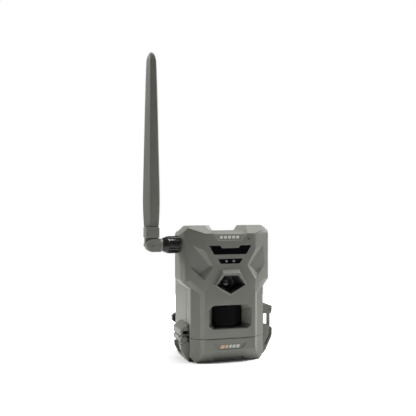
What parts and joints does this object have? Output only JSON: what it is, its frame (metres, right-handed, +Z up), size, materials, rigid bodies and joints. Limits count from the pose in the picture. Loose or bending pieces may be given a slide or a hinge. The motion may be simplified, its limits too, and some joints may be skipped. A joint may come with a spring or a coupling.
{
  "type": "trail camera",
  "caption": "Weatherproof trail camera with a swivelling antenna, a hinged bottom door held by a draw latch, and a strap bracket at the rear.",
  "frame": {"origin": "middle of the flat base, 38 mm behind the front face", "axes": "+Z up, front faces -Y, antenna on the -X side"},
  "size_m": [0.1348, 0.0811, 0.3005],
  "materials": {
    "case_green": "fine moulded texture, grey-green",
    "black_plastic": "satin black",
    "black_window": "smoked, glossy",
    "clear_glass": "polished",
    "seal_rubber": "soft black",
    "steel": "brushed",
    "brass": "machined",
    "circuit_board": "green solder mask",
    "grey_plastic": "satin grey",
    "battery_jacket": "printed steel can"
  },
  "bodies": {
    "housing": {"front_housing": "case_green", "rear_housing": "case_green", "tree_bracket": "black_plastic", "control_panel": "black_plastic", "lens_bezel": "black_plastic", "lens_barrel": "black_plastic", "tact_switches": "black_plastic", "mic_mesh": "black_plastic", "ir_leds": "black_plastic", "ir_window": "black_window", "status_window": "black_window", "pir_lens": "black_window", "lens_glass": "clear_glass", "status_lights": "clear_glass", "housing_gasket": "seal_rubber", "housing_screws": "steel", "bracket_screws": "steel", "battery_springs": "steel", "battery_contacts": "steel", "memory_slot": "steel", "sim_slot": "steel", "pir_sensor": "steel", "modem_module": "steel", "antenna_jack": "brass", "jack_nut": "brass", "tripod_insert": "brass", "main_board": "circuit_board", "camera_board": "circuit_board", "ir_board": "circuit_board", "control_board": "circuit_board", "battery_tray": "grey_plastic", "image_sensor": "grey_plastic", "battery_cells": "battery_jacket"},
    "door": {"bottom_door": "case_green", "door_gasket": "seal_rubber", "hinge_pin": "steel", "latch_pin": "steel"},
    "latch_lever": {"latch_lever": "case_green", "link_pin": "steel"},
    "latch_link": {"latch_link": "case_green"},
    "antenna_nut": {"antenna_nut": "black_plastic"},
    "antenna_elbow": {"antenna_elbow": "case_green", "elbow_pin": "steel"},
    "antenna_blade": {"antenna_blade": "case_green", "radiator_core": "steel"},
    "power_button": {"power_button": "black_plastic"},
    "test_button": {"test_button": "black_plastic"},
    "memory_card": {"memory_card": "grey_plastic"},
    "sim_card": {"sim_card": "grey_plastic"}
  },
  "joints": [
    {"name": "door_swing", "type": "hinge", "parent": "housing", "child": "door", "pos_m": [-0.0426, -0.0094, 0.0217], "axis": [0, 1, 0], "range_deg": [0, 90]},
    {"name": "latch_lever_swing", "type": "hinge", "parent": "door", "child": "latch_lever", "pos_m": [0.0424, -0.009, 0.027], "axis": [0, -1, 0], "range_deg": [0, 90]},
    {"name": "latch_link_swing", "type": "hinge", "parent": "latch_lever", "child": "latch_link", "pos_m": [0.0466, -0.009, 0.0224], "axis": [0, 1, 0], "range_deg": [0, 104]},
    {"name": "antenna_nut_spin", "type": "hinge", "parent": "housing", "child": "antenna_nut", "pos_m": [-0.05, -0.0185, 0.1143], "axis": [1, 0, 0], "continuous": true},
    {"name": "antenna_swivel", "type": "hinge", "parent": "housing", "child": "antenna_elbow", "pos_m": [-0.06, -0.0185, 0.1143], "axis": [1, 0, 0], "continuous": true},
    {"name": "antenna_tilt", "type": "hinge", "parent": "antenna_elbow", "child": "antenna_blade", "pos_m": [-0.074, -0.0185, 0.1143], "axis": [0, -1, 0], "range_deg": [0, 90]},
    {"name": "power_press", "type": "slide", "parent": "housing", "child": "power_button", "axis": [0, 0, 1], "range_m": [0, 0.0008], "stiffness_N_per_m": 800},
    {"name": "test_press", "type": "slide", "parent": "housing", "child": "test_button", "axis": [0, 0, 1], "range_m": [0, 0.0008], "stiffness_N_per_m": 800},
    {"name": "memory_card_slide", "type": "slide", "parent": "housing", "child": "memory_card", "axis": [0, 0, -1], "range_m": [0, 0.012]},
    {"name": "sim_card_slide", "type": "slide", "parent": "housing", "child": "sim_card", "axis": [0, 0, -1], "range_m": [0, 0.01]}
  ],
  "couplings": [
    {"joint": "latch_link_swing", "follows": "latch_lever_swing", "ratio": 1.15}
  ]
}
